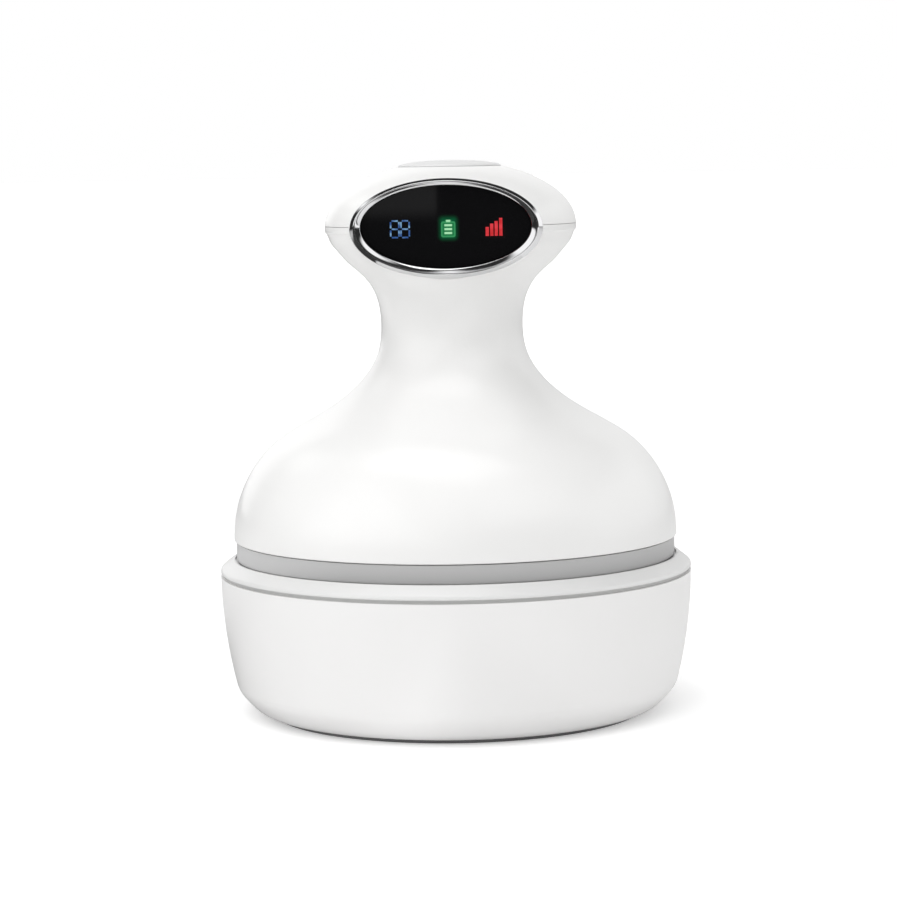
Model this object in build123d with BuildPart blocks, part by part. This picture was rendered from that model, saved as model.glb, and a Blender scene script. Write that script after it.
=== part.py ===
"""Electric scalp massager standing on its storage base.

Millimetres, +Z up, origin on the table at the centre of the base. The display faces -Y.
The massager is a mushroom-shaped body of revolution: a wide dome over four counter-rotating
kneading heads, a waist for the fingers and a round grip with a display let into its front.
A motor on the axis drives the heads through a layshaft, a sun gear and a ring of four gears.
"""

import os
from math import acos, cos, pi, radians, sin, sqrt, tan

from build123d import *

os.makedirs("parts", exist_ok=True)

# ---------------------------------------------------------------- driving dimensions
BASE_RADIUS = 59.0  # widest radius of the storage base, and of the whole object
BASE_WALL = 2.6
BOWL_FOOT_Z = 1.0  # the bowl's underside stands this far above the table on its foot ring
BOWL_FLOOR_Z = 3.6
FOOT_RADIUS, FOOT_WIDTH = 47.0, 5.4  # rubber ring let into the bowl's underside
BOWL_FLAT_RADIUS = 47.4
BOWL_TOP_Z = 35.1
SEAT_Z = 38.6  # the massager's trim ring rests here, in the base's rim
CREST_Z = 39.2
LIFT_CLEAR = 0.3  # general clearance between pieces that come apart

TRIM_RADIUS = 54.9
BODY_Z = 43.95  # lower edge of the dome
SEAM_Z = 121.8  # parting line round the grip, at its widest
GRIP_RADIUS = 31.3
CROWN_HEIGHT = 15.8  # half-height of the ellipse above the parting line
CROWN_TOP_Z = 136.1  # the crown is cut flat here for the button
BUTTON_TOP_Z = 137.7  # highest point of the object
BODY_WALL = 2.4
# Radius and height along the outside of the dome, waist and grip.
BODY_OUTLINE = [
    (55.45, BODY_Z),
    (54.6, 52.0),
    (51.4, 60.0),
    (44.8, 68.0),
    (33.6, 75.0),
    (24.1, 82.0),
    (18.7, 90.0),
    (17.7, 97.5),
    (19.1, 105.0),
    (21.7, 109.0),
    (26.1, 113.0),
    (28.5, 115.8),
    (30.1, 118.0),
    (31.0, 120.1),
    (GRIP_RADIUS, SEAM_Z),
]

FACET_Y = 21.6  # distance from the axis to the flat that carries the display
FACET_WALL = 2.2
FACET_FROM_Z = 104.0
SEAM_GAP = 0.1
BEZEL_Z = 121.35  # centre of the bezel
DISPLAY_Z = 121.8  # centre of the glass, a little above the centre of the bezel
BEZEL_SIZE = (23.4, 12.1)  # half-widths of the bezel ring, across and up
BEZEL_FRONT = 23.3
WINDOW_SIZE = (19.9, 9.4)  # half-widths of the glass that shows inside the bezel
LENS_SIZE = (20.5, 9.9)
LENS_FRONT, LENS_BACK = 21.9, 20.7
SKIRT_SIZE = (21.5, 11.0)  # outside of the bezel's skirt, which passes through the shells
DISPLAY_HOLE = (21.6, 11.1)

CHASSIS_LOW_Z = SEAT_Z + LIFT_CLEAR
CHASSIS_TOP_Z = 42.8
CHASSIS_RADIUS = 51.9
CHASSIS_FLANGE = 53.5
COVER_LOW_Z = 61.0
COVER_TOP_Z = 63.2
COVER_RADIUS = 44.0
POST_CIRCLE = 39.0  # gearbox posts and their screws
POST_ANGLES = (0, 90, 180, 270)
BOSS_CIRCLE = 48.9  # housing bosses and their screws
BOSS_ANGLES = (0, 78, 102, 180, 258, 282)
BOARD_CIRCLE = 24.0  # pillars under the main board

PRESSURE_ANGLE = radians(25)
BACKLASH = 0.10
HEAD_PITCH = 38.0  # neighbouring heads are one pitch diameter of their gears apart
HEAD_TEETH, HEAD_MODULE = 24, HEAD_PITCH / 24
DRIVEN_TEETH, SUN_TEETH, SUN_MODULE = 42, 12, 0.9944
WHEEL_TEETH, LAY_PINION_TEETH, LAY_MODULE = 28, 12, 0.75
LAY_WHEEL_TEETH, MOTOR_TEETH, MOTOR_MODULE = 39, 11, 0.6
LAY_OFFSET = (WHEEL_TEETH + LAY_PINION_TEETH) * LAY_MODULE / 2
LAY_AXIS = (0.0, LAY_OFFSET)
HEAD_GEAR_Z = (43.6, 48.6)
DRIVEN_Z = (49.4, 52.6)
SUN_PINION_Z = (49.1, 53.9)
SUN_WHEEL_Z = (53.9, 56.2)
LAY_PINION_Z = (53.6, 57.0)
LAY_WHEEL_Z = (57.0, 59.6)
MOTOR_PINION_Z = (57.0, 60.4)

SHAFT_RADIUS = 2.5
SHAFT_Z = (29.6, 62.8)
RUNNING = 0.05  # radial clearance of a running fit
FIXED = 0.02  # radial clearance of a fixed pin or bush in its bore
BUSH_RADIUS = 4.0
COLLAR_RADIUS, COLLAR_LOW_Z = 7.4, 35.2
SEAL_RADIUS, SEAL_TOP_Z = 6.2, 37.2
SUN_STUD_RADIUS, LAY_STUD_RADIUS = 2.0, 1.5
CARRIER_RADIUS = 12.5
CLAW_RADIUS = 17.4
CLAW_LOW_Z, CLAW_TOP_Z = 25.8, 31.6
FINGER_CIRCLE, FINGER_TIP_Z = 14.0, 10.5
INNER_CIRCLE, INNER_TIP_Z = 6.6, 16.5

MOTOR_RADIUS = 12.2
MOTOR_TOP_Z = 88.5
MOTOR_SCREW_X = 8.0
BATTERY_RADIUS = 9.1
BATTERY_Z = (91.7, 126.2)
SLEEVE_Z = (90.2, 118.0)
BOARD_Z = 68.0
BOARD_THICK = 1.6

BUTTON_RADIUS = 12.75
BUTTON_HOLE = 13.05
BUTTON_TRAVEL = 0.8
BUTTON_FLANGE_Z = (132.4, 133.2)
CROWN_INSIDE_Z = 134.0
SWITCH_BOARD_Z = (127.8, 129.0)
SWITCH_TOP_Z = 131.9
STEM_LOW_Z = SWITCH_TOP_Z + BUTTON_TRAVEL + 0.1
PORT_Z = 54.0
PORT_BOARD_Z = (51.2, 52.4)

half = HEAD_PITCH / 2
HEADS = {
    "rear_right": (half, half),
    "rear_left": (-half, half),
    "front_left": (-half, -half),
    "front_right": (half, -half),
}
DRIVEN_HEADS = ("rear_right", "front_left")


# ---------------------------------------------------------------- helpers
def write(part, name):
    """Labels a finished piece and writes it as its own STEP file."""
    part.label = name
    export_step(part, f"parts/{name}.step")


def inset(points, wall):
    """The same outline, moved inwards along its normals by the wall's thickness."""
    moved = []
    for i, (r, z) in enumerate(points):
        before, after = points[max(i - 1, 0)], points[min(i + 1, len(points) - 1)]
        along = Vector(after[0] - before[0], after[1] - before[1]).normalized()
        if i in (0, len(points) - 1):
            along = Vector(0, 1)
        moved.append((r - along.Y * wall, z + along.X * wall))
    return moved


BASE_ALIGN = (Align.CENTER, Align.CENTER, Align.MIN)


def disc(radius, low, high, mode=Mode.ADD):
    """A plain cylinder between two heights, at each current location."""
    with Locations((0, 0, low)):
        Cylinder(radius, high - low, align=BASE_ALIGN, mode=mode)


def ring(inner, outer, low, high):
    """A plain ring between two heights, at each current location."""
    disc(outer, low, high)
    disc(inner, low, high, mode=Mode.SUBTRACT)


def turned(points):
    """Revolves a closed outline of (radius, height) points about Z."""
    with BuildSketch(Plane.XZ) as section:
        with BuildLine():
            Polyline(*points, close=True)
        make_face()
    revolve(section.sketch, axis=Axis.Z)


def screw(centre, head_z, head_radius, head_height, shank_radius, length):
    """A cross-head screw whose exposed face is at head_z. Negative heights make it point down."""
    with BuildSketch(Plane.XY.offset(head_z)) as head:
        with Locations(centre):
            Circle(head_radius)
    extrude(head.sketch, amount=head_height)
    with BuildSketch(Plane.XY.offset(head_z)) as recess:
        with Locations(centre):
            Rectangle(head_radius * 1.1, 0.5)
            Rectangle(0.5, head_radius * 1.1)
    extrude(recess.sketch, amount=head_height / 2, mode=Mode.SUBTRACT)
    with BuildSketch(Plane.XY.offset(head_z + head_height)) as shank:
        with Locations(centre):
            Circle(shank_radius)
    extrude(shank.sketch, amount=length)


def polar(radius, degrees):
    return radius * cos(radians(degrees)), radius * sin(radians(degrees))


def involute(angle):
    return tan(angle) - angle


def flank(teeth, module, side):
    """The root, middle and tip of one flank of the tooth that stands on the X axis."""
    pitch, base = teeth * module / 2, teeth * module / 2 * cos(PRESSURE_ANGLE)
    root, tip = pitch - 1.25 * module, pitch + module
    half_tooth = pi / (2 * teeth) - BACKLASH / (4 * pitch) + involute(PRESSURE_ANGLE)
    start = max(base * 1.001, root)
    points = []
    for r in (start, (start + tip) / 2, tip):
        angle = side * (half_tooth - involute(acos(base / r)))
        points.append((r * cos(angle), r * sin(angle)))
    below = min(root, start) - 0.15 * module
    angle = side * (half_tooth - involute(acos(base / start)))
    return [(below * cos(angle), below * sin(angle))] + points


def gear_face(teeth, module, centre, phase):
    """Draws a spur gear in the current sketch. phase is the direction of one tooth, in degrees."""
    pitch = teeth * module / 2
    outline = flank(teeth, module, -1) + flank(teeth, module, 1)[::-1]
    with BuildSketch(mode=Mode.PRIVATE) as tooth:
        with BuildLine():
            Polyline(*outline, close=True)
        make_face()
    with Locations(Location((*centre, 0), (0, 0, phase))):
        Circle(pitch - 1.25 * module)
        with PolarLocations(0, teeth):
            add(tooth.sketch)


def gear(teeth, module, centre, phase, low, high):
    """A spur gear between two heights, in the current part."""
    with BuildSketch(Plane.XY.offset(low)) as face:
        gear_face(teeth, module, centre, phase)
    extrude(face.sketch, amount=high - low)


def meshed(teeth_a, phase_a, direction, teeth_b):
    """Phase of gear b that meshes with gear a, which lies opposite the given direction."""
    share_a = (direction - phase_a) * teeth_a / 360
    return direction + 180 - (0.5 - share_a) * 360 / teeth_b


def wire(points, radius, bend):
    """A round wire of straight runs and tangent bends, in the current part."""
    with BuildLine() as route:
        FilletPolyline(*points, radius=bend)
    with BuildSketch(Plane(origin=points[0], z_dir=route.line % 0)) as section:
        Circle(radius)
    sweep(section.sketch, path=route.line)


# ---------------------------------------------------------------- outside shapes
def body_solid(wall=0.0):
    """The massager's outside, or its cavity when wall is given, flat for the display in front."""
    outline = inset(BODY_OUTLINE, wall) if wall else BODY_OUTLINE
    low_r, low_z = outline[0]
    top_r, top_z = outline[-1]
    crown = CROWN_HEIGHT - wall
    cut_z = CROWN_INSIDE_Z if wall else CROWN_TOP_Z
    cut_r = top_r * sqrt(1 - ((cut_z - top_z) / crown) ** 2)
    crown_angle = acos(cut_r / top_r) * 180 / pi
    front = FACET_Y - FACET_WALL if wall else FACET_Y
    with BuildPart() as body:
        with BuildSketch(Plane.XZ):
            with BuildLine():
                Line((0, low_z), (low_r, low_z))
                Spline(*outline, tangents=((0, 1), (0, 1)))
                EllipticalCenterArc((0, top_z), top_r, crown, arc_size=crown_angle)
                Line((cut_r, cut_z), (0, cut_z))
                Line((0, cut_z), (0, low_z))
            make_face()
        revolve(axis=Axis.Z)
        with BuildSketch(Plane.XY.offset(FACET_FROM_Z)):
            with Locations((0, -front - 20)):
                Rectangle(80, 40)
        extrude(amount=40, mode=Mode.SUBTRACT)
    return body.part


OUTSIDE = body_solid()
CAVITY = body_solid(BODY_WALL)


# ---------------------------------------------------------------- storage base
def bowl_outline(foot, flat_radius, knee, corner, waist, top):
    """Closed half-section of the bowl: flat bottom, soft corner and gently bowed wall."""
    with BuildLine() as outline:
        Line((0, foot), (flat_radius, foot))
        wall = ThreePointArc(corner, waist, top)
        Spline((flat_radius, foot), knee, corner, tangents=((1, 0), wall % 0))
        Line(top, (0, top[1]))
        Line((0, top[1]), (0, foot))
    return outline.edges()


BOWL_OUTSIDE = bowl_outline(
    BOWL_FOOT_Z,
    BOWL_FLAT_RADIUS,
    (53.2, 4.2),
    (55.6, 8.0),
    (57.95, 20.5),
    (BASE_RADIUS, BOWL_TOP_Z),
)
BOWL_INSIDE = bowl_outline(
    BOWL_FLOOR_Z,
    BOWL_FLAT_RADIUS - BASE_WALL,
    (50.9, 6.4),
    (53.1, 9.6),
    (55.35, 21.0),
    (BASE_RADIUS - BASE_WALL, BOWL_TOP_Z),
)

with BuildPart() as base_bowl:
    with BuildSketch(Plane.XZ):
        make_face(BOWL_OUTSIDE)
    revolve(axis=Axis.Z)
    with BuildSketch(Plane.XZ):
        make_face(BOWL_INSIDE)
    revolve(axis=Axis.Z, mode=Mode.SUBTRACT)
    with BuildSketch(Plane.XY.offset(BOWL_FOOT_Z)):
        Circle(FOOT_RADIUS)
        Circle(FOOT_RADIUS - FOOT_WIDTH, mode=Mode.SUBTRACT)
    extrude(amount=0.7, mode=Mode.SUBTRACT)
write(base_bowl.part, "base_bowl")

with BuildPart() as base_rim:
    turned(
        [
            (51.2, SEAT_Z),
            (55.4, SEAT_Z),
            (55.4, CREST_Z),
            (55.9, CREST_Z),
            (BASE_RADIUS, 36.8),
            (BASE_RADIUS, 36.1),
            (58.3, 35.9),
            (58.3, BOWL_TOP_Z),
            (55.9, BOWL_TOP_Z),
            (55.9, 31.0),
            (54.2, 31.0),
            (54.2, 36.4),
            (51.2, 36.4),
        ]
    )
    shoulder = base_rim.edges().filter_by(GeomType.CIRCLE).sort_by(SortBy.RADIUS)[-2:]
    fillet(shoulder.sort_by(Axis.Z)[-1], 0.8)
write(base_rim.part, "base_rim")

with BuildPart() as base_foot_ring:
    ring(FOOT_RADIUS - FOOT_WIDTH, FOOT_RADIUS, 0.0, BOWL_FOOT_Z + 0.7)
    chamfer(base_foot_ring.faces().sort_by(Axis.Z)[0].edges(), 0.3)
write(base_foot_ring.part, "base_foot_ring")

# ---------------------------------------------------------------- massager's outer shells
def front(y, z=DISPLAY_Z):
    """Sketch plane facing the viewer, centred on the display, y in front of the axis."""
    return Plane(origin=(0, -y, z), x_dir=(1, 0, 0), z_dir=(0, -1, 0))


def oval(size, back, face, z=DISPLAY_Z, mode=Mode.ADD):
    """An elliptical plate that faces the front, between two distances from the axis."""
    with BuildSketch(front(back, z)) as plate:
        Ellipse(*size)
    extrude(plate.sketch, amount=face - back, mode=mode)


BOSSES = [polar(BOSS_CIRCLE, a) for a in BOSS_ANGLES]
POSTS = [polar(POST_CIRCLE, a) for a in POST_ANGLES]
PILLARS = [polar(BOARD_CIRCLE, a) for a in POST_ANGLES]
CAP_PILLARS = [polar(16.0, a) for a in (90, 210, 330)]

with BuildPart() as housing:
    add(OUTSIDE)
    add(CAVITY, mode=Mode.SUBTRACT)
    with BuildSketch(Plane.XY.offset(SEAM_Z - SEAM_GAP / 2)):
        Rectangle(80, 80)
    extrude(amount=30, mode=Mode.SUBTRACT)
    with Locations(*BOSSES):
        disc(3.0, CHASSIS_TOP_Z + 0.1, 57.0)
    with BuildSketch(Plane.XY.offset(45.0)):
        for angle in BOSS_ANGLES:
            with Locations(Location((*polar(51.4, angle), 0), (0, 0, angle))):
                Rectangle(3.4, 1.6)
    extrude(amount=11.0)
    with Locations(*BOSSES):
        disc(1.05, CHASSIS_TOP_Z, 52.0, mode=Mode.SUBTRACT)
    oval(DISPLAY_HOLE, 14.0, 25.0, BEZEL_Z, Mode.SUBTRACT)
    hem = housing.edges().filter_by(GeomType.CIRCLE).filter_by_position(Axis.Z, BODY_Z - 0.01, BODY_Z + 0.01)
    fillet(hem.sort_by(SortBy.RADIUS)[-1], 0.35)
    with BuildSketch(Plane(origin=(0, 45, PORT_Z), x_dir=(-1, 0, 0), z_dir=(0, 1, 0))):
        SlotOverall(9.8, 4.0)
    extrude(amount=12, mode=Mode.SUBTRACT)
write(housing.part, "housing")

with BuildPart() as grip_cap:
    add(OUTSIDE)
    add(CAVITY, mode=Mode.SUBTRACT)
    with BuildSketch(Plane.XY.offset(SEAM_Z + SEAM_GAP / 2)):
        Rectangle(140, 140)
    extrude(amount=-90, mode=Mode.SUBTRACT)
    with BuildPart(mode=Mode.PRIVATE) as snap_lip:
        turned([(27.0, 118.8), (27.4, 118.8), (28.5, 121.9), (29.4, 121.9), (29.4, 123.0), (27.2, 123.0)])
        with BuildSketch(Plane.XY.offset(115)):
            with Locations((0, -28)):
                Rectangle(60, 26)
        extrude(amount=12, mode=Mode.SUBTRACT)
    add(snap_lip.part)
    with Locations(*CAP_PILLARS):
        disc(1.9, SWITCH_BOARD_Z[1], CROWN_INSIDE_Z - 0.4)
    disc(BUTTON_HOLE, 131.0, 140.0, mode=Mode.SUBTRACT)
    oval(DISPLAY_HOLE, 14.0, 25.0, BEZEL_Z, Mode.SUBTRACT)
write(grip_cap.part, "grip_cap")

with BuildPart() as trim_ring:
    turned(
        [
            (52.0, BODY_Z),
            (54.0, BODY_Z),
            (54.0, BODY_Z - 0.25),
            (TRIM_RADIUS, BODY_Z - 0.25),
            (TRIM_RADIUS, CHASSIS_LOW_Z + 0.4),
            (TRIM_RADIUS - 0.4, CHASSIS_LOW_Z),
            (53.6, CHASSIS_LOW_Z),
            (53.6, CHASSIS_LOW_Z + 0.9),
            (52.0, CHASSIS_LOW_Z + 0.9),
        ]
    )
write(trim_ring.part, "trim_ring")

# ---------------------------------------------------------------- display
with BuildPart() as display_bezel:
    oval(BEZEL_SIZE, FACET_Y, BEZEL_FRONT, BEZEL_Z)
    oval(SKIRT_SIZE, FACET_Y - FACET_WALL - 0.1, FACET_Y, BEZEL_Z)
    with BuildSketch(front(BEZEL_FRONT, BEZEL_Z)):
        Ellipse(BEZEL_SIZE[0] - 0.6, BEZEL_SIZE[1] - 0.6)
    with BuildSketch(front(LENS_FRONT)):
        Ellipse(*WINDOW_SIZE)
    loft(mode=Mode.SUBTRACT)
    oval((LENS_SIZE[0] + 0.05, LENS_SIZE[1] + 0.05), 18.0, LENS_FRONT, mode=Mode.SUBTRACT)
    crest = display_bezel.edges().filter_by_position(Axis.Y, -BEZEL_FRONT - 0.01, -BEZEL_FRONT + 0.01)
    fillet(crest, 0.28)
write(display_bezel.part, "display_bezel")

with BuildPart() as display_lens:
    oval(LENS_SIZE, LENS_BACK, LENS_FRONT - 0.02)
write(display_lens.part, "display_lens")

with BuildPart() as display_frame:
    oval(LENS_SIZE, 18.85, LENS_BACK - 0.1)
    with BuildSketch(front(18.85)):
        Rectangle(32.4, 11.4)
    extrude(amount=4, mode=Mode.SUBTRACT)
    with BuildSketch(front(18.85)):
        with Locations((-18.85, 0), (18.85, 0)):
            Circle(0.72)
    extrude(amount=1.4, mode=Mode.SUBTRACT)
write(display_frame.part, "display_frame")

with BuildPart() as display_module:
    with BuildSketch(front(18.75)):
        Rectangle(32.0, 11.0)
    extrude(amount=1.75)
write(display_module.part, "display_module")

with BuildPart() as display_board:
    oval((20.2, 9.6), 17.55, 18.75)
    with BuildSketch(front(16.45)):
        with Locations((0, -7.0)):
            Rectangle(8.0, 3.0)
        with Locations((-9.0, 2.0)):
            Rectangle(6.0, 6.0)
    extrude(amount=1.1)
    with BuildSketch(front(17.0)):
        with Locations((-18.85, 0), (18.85, 0)):
            Circle(0.8)
    extrude(amount=2.0, mode=Mode.SUBTRACT)
write(display_board.part, "display_board")

with BuildPart() as display_screws:
    for x in (-18.85, 18.85):
        with BuildSketch(front(16.75)):
            with Locations((x, 0)):
                Circle(1.25)
        extrude(amount=0.8)
        with BuildSketch(front(16.75)):
            with Locations((x, 0)):
                RectangleRounded(1.5, 0.35, 0.15)
                RectangleRounded(0.35, 1.5, 0.15)
        extrude(amount=0.4, mode=Mode.SUBTRACT)
        with BuildSketch(front(17.55)):
            with Locations((x, 0)):
                Circle(0.7)
        extrude(amount=2.5)
write(display_screws.part, "display_screws")

ICON_FACE = LENS_FRONT - 0.02
ICON_THICK = 0.08

with BuildPart() as display_digits:
    with BuildSketch(front(ICON_FACE)):
        for x in (-12.37, -9.87):
            for x_step, z_step, wide, high in (
                (0, 2.0, 1.5, 0.38),
                (0, 0, 1.5, 0.38),
                (0, -2.0, 1.5, 0.38),
                (-1.0, 1.0, 0.38, 1.5),
                (1.0, 1.0, 0.38, 1.5),
                (-1.0, -1.0, 0.38, 1.5),
                (1.0, -1.0, 0.38, 1.5),
            ):
                with Locations((x + x_step, z_step - 0.53)):
                    Rectangle(wide, high)
    extrude(amount=ICON_THICK)
write(display_digits.part, "display_digits")

with BuildPart() as display_charge_icon:
    with BuildSketch(front(ICON_FACE)):
        with Locations((0.58, -0.73)):
            RectangleRounded(3.5, 3.8, 0.55)
            RectangleRounded(2.8, 3.1, 0.25, mode=Mode.SUBTRACT)
        with Locations((0.58, 1.36)):
            Rectangle(1.5, 0.4)
        with Locations(*[(0.58, -0.68 + step * 0.94) for step in (-1, 0, 1)]):
            Rectangle(1.9, 0.5)
    extrude(amount=ICON_THICK)
write(display_charge_icon.part, "display_charge_icon")

with BuildPart() as display_level_bars:
    with BuildSketch(front(ICON_FACE)):
        for index, high in enumerate((2.15, 2.95, 3.55, 4.3)):
            with Locations((10.0 + 1.09 * index, -2.45 + high / 2)):
                Rectangle(0.8, high)
    extrude(amount=ICON_THICK)
write(display_level_bars.part, "display_level_bars")

# ---------------------------------------------------------------- power button and its switch
with BuildPart() as power_button:
    with BuildSketch(Plane.XZ):
        with BuildLine():
            Polyline(
                (0, STEM_LOW_Z),
                (2.4, STEM_LOW_Z),
                (2.4, 135.0),
                (11.6, 135.0),
                (11.6, BUTTON_FLANGE_Z[0]),
                (13.8, BUTTON_FLANGE_Z[0]),
                (13.8, BUTTON_FLANGE_Z[1]),
                (BUTTON_RADIUS, BUTTON_FLANGE_Z[1]),
                (BUTTON_RADIUS, 136.3),
                (BUTTON_RADIUS - 0.35, 136.65),
            )
            Spline(
                (BUTTON_RADIUS - 0.35, 136.65),
                (0, BUTTON_TOP_Z),
                tangents=((-1, 0.25), (-1, 0)),
            )
            Line((0, BUTTON_TOP_Z), (0, STEM_LOW_Z))
        make_face()
    revolve(axis=Axis.Z)
write(power_button.part, "power_button")

with BuildPart() as switch_board:
    disc(17.9, *SWITCH_BOARD_Z)
    with BuildSketch(Plane.XY.offset(SWITCH_BOARD_Z[0])):
        with Locations((0, -22.5)):
            Rectangle(60, 16)
    extrude(amount=3, mode=Mode.SUBTRACT)
write(switch_board.part, "switch_board")

with BuildPart() as tact_switch:
    with BuildSketch(Plane.XY.offset(SWITCH_BOARD_Z[1])):
        Rectangle(6, 6)
    extrude(amount=2.2)
    disc(1.7, SWITCH_BOARD_Z[1] + 2.2, SWITCH_TOP_Z)
write(tact_switch.part, "tact_switch")

# ---------------------------------------------------------------- chassis and gearbox
HEAD_POINTS = list(HEADS.values())

with BuildPart() as chassis:
    disc(CHASSIS_RADIUS, CHASSIS_LOW_Z, CHASSIS_TOP_Z)
    disc(CHASSIS_FLANGE, CHASSIS_LOW_Z, CHASSIS_LOW_Z + 0.8)
    with Locations(*HEAD_POINTS):
        disc(COLLAR_RADIUS, COLLAR_LOW_Z, CHASSIS_LOW_Z)
    with Locations(*POSTS):
        disc(3.6, CHASSIS_TOP_Z, COVER_LOW_Z)
    with BuildSketch(Plane.XY.offset(CHASSIS_TOP_Z)):
        with Locations((0, 46.6)):
            Rectangle(10, 7)
    extrude(amount=PORT_BOARD_Z[0] - CHASSIS_TOP_Z)
    with Locations(*HEAD_POINTS):
        disc(BUSH_RADIUS + FIXED, 34.0, 44.0, mode=Mode.SUBTRACT)
        disc(SEAL_RADIUS + FIXED, 34.0, SEAL_TOP_Z, mode=Mode.SUBTRACT)
    with Locations(*POSTS):
        disc(1.05, 52.0, COVER_LOW_Z, mode=Mode.SUBTRACT)
    with Locations(*BOSSES):
        disc(1.2, CHASSIS_LOW_Z, CHASSIS_TOP_Z, mode=Mode.SUBTRACT)
        disc(2.1, CHASSIS_LOW_Z, CHASSIS_LOW_Z + 1.5, mode=Mode.SUBTRACT)
    disc(SUN_STUD_RADIUS + FIXED, CHASSIS_LOW_Z + 0.8, CHASSIS_TOP_Z, mode=Mode.SUBTRACT)
write(chassis.part, "chassis")

with BuildPart() as chassis_screws:
    for centre in BOSSES:
        screw(centre, CHASSIS_LOW_Z + 0.1, 1.95, 1.4, 1.0, 10.0)
write(chassis_screws.part, "chassis_screws")

with BuildPart() as shaft_bushes:
    with Locations(*HEAD_POINTS):
        ring(SHAFT_RADIUS + RUNNING, BUSH_RADIUS, SEAL_TOP_Z + 0.1, CHASSIS_TOP_Z + 0.4)
        ring(SHAFT_RADIUS + RUNNING, BUSH_RADIUS, COVER_LOW_Z - 0.1, COVER_TOP_Z)
write(shaft_bushes.part, "shaft_bushes")

with BuildPart() as shaft_seals:
    with Locations(*HEAD_POINTS):
        ring(SHAFT_RADIUS + RUNNING, SEAL_RADIUS, COLLAR_LOW_Z, SEAL_TOP_Z)
write(shaft_seals.part, "shaft_seals")

with BuildPart() as sun_stud:
    disc(SUN_STUD_RADIUS, CHASSIS_LOW_Z + 0.8, 56.7)
write(sun_stud.part, "sun_stud")

with BuildPart() as lay_stud:
    with Locations(LAY_AXIS):
        disc(LAY_STUD_RADIUS, 53.0, COVER_TOP_Z)
        disc(2.5, COVER_TOP_Z, COVER_TOP_Z + 0.8)
write(lay_stud.part, "lay_stud")

with BuildPart() as stud_clips:
    ring(SUN_STUD_RADIUS + FIXED, 3.2, 56.3, 56.6)
    with Locations(LAY_AXIS):
        ring(LAY_STUD_RADIUS + FIXED, 2.7, 53.05, 53.45)
write(stud_clips.part, "stud_clips")

with BuildPart() as gearbox_cover:
    disc(COVER_RADIUS, COVER_LOW_Z, COVER_TOP_Z)
    with Locations(*PILLARS):
        disc(2.6, COVER_TOP_Z, BOARD_Z)
        disc(1.0, BOARD_Z - 3.0, BOARD_Z, mode=Mode.SUBTRACT)
    with Locations(*POSTS):
        disc(1.2, COVER_LOW_Z, COVER_TOP_Z, mode=Mode.SUBTRACT)
    with Locations(*HEAD_POINTS):
        disc(BUSH_RADIUS + FIXED, COVER_LOW_Z, COVER_TOP_Z, mode=Mode.SUBTRACT)
    with Locations((-MOTOR_SCREW_X, 0), (MOTOR_SCREW_X, 0)):
        disc(1.1, COVER_LOW_Z, COVER_TOP_Z, mode=Mode.SUBTRACT)
    with Locations(LAY_AXIS):
        disc(LAY_STUD_RADIUS + FIXED, COVER_LOW_Z, COVER_TOP_Z, mode=Mode.SUBTRACT)
    disc(3.6, COVER_LOW_Z, COVER_TOP_Z, mode=Mode.SUBTRACT)
write(gearbox_cover.part, "gearbox_cover")

with BuildPart() as gearbox_screws:
    for centre in POSTS:
        screw(centre, COVER_TOP_Z + 1.4, 2.1, -1.4, 1.0, -9.0)
write(gearbox_screws.part, "gearbox_screws")

with BuildPart() as motor_screws:
    for x in (-MOTOR_SCREW_X, MOTOR_SCREW_X):
        screw((x, 0), COVER_LOW_Z - 1.2, 1.8, 1.2, 1.0, 4.7)
write(motor_screws.part, "motor_screws")

with BuildPart() as motor:
    disc(MOTOR_RADIUS, COVER_TOP_Z, MOTOR_TOP_Z)
    fillet(motor.edges(), 0.8)
    disc(3.4, COVER_TOP_Z - 1.2, COVER_TOP_Z)
    disc(3.0, MOTOR_TOP_Z, MOTOR_TOP_Z + 0.9)
    with BuildSketch(Plane.XY.offset(MOTOR_TOP_Z)):
        with Locations((-6.2, -2), (-6.2, 2)):
            Rectangle(0.6, 1.8)
    extrude(amount=1.4)
    disc(1.0 + RUNNING, COVER_TOP_Z - 1.2, 70.5, mode=Mode.SUBTRACT)
    with Locations((-MOTOR_SCREW_X, 0), (MOTOR_SCREW_X, 0)):
        disc(1.03, COVER_TOP_Z, COVER_TOP_Z + 3.0, mode=Mode.SUBTRACT)
write(motor.part, "motor")

with BuildPart() as motor_damper:
    ring(MOTOR_RADIUS + FIXED, 13.9, 77.0, 85.0)
write(motor_damper.part, "motor_damper")

# ---------------------------------------------------------------- geartrain
SUN_PHASE = 0.0
sun_to_head = 45.0

with BuildPart() as sun_cluster:
    disc(3.4, 43.3, SUN_PINION_Z[0])
    gear(SUN_TEETH, SUN_MODULE, (0, 0), SUN_PHASE, *SUN_PINION_Z)
    gear(WHEEL_TEETH, LAY_MODULE, (0, 0), 0.0, *SUN_WHEEL_Z)
    disc(SUN_STUD_RADIUS + RUNNING, 43.0, 57.0, mode=Mode.SUBTRACT)
write(sun_cluster.part, "sun_cluster")

lay_pinion_phase = meshed(WHEEL_TEETH, 0.0, 90.0, LAY_PINION_TEETH)
with BuildPart() as lay_cluster:
    gear(LAY_PINION_TEETH, LAY_MODULE, LAY_AXIS, lay_pinion_phase, *LAY_PINION_Z)
    gear(LAY_WHEEL_TEETH, MOTOR_MODULE, LAY_AXIS, 0.0, *LAY_WHEEL_Z)
    with Locations(LAY_AXIS):
        disc(3.2, LAY_WHEEL_Z[1], 60.6)
        disc(LAY_STUD_RADIUS + RUNNING, 53.0, 61.0, mode=Mode.SUBTRACT)
write(lay_cluster.part, "lay_cluster")

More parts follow.
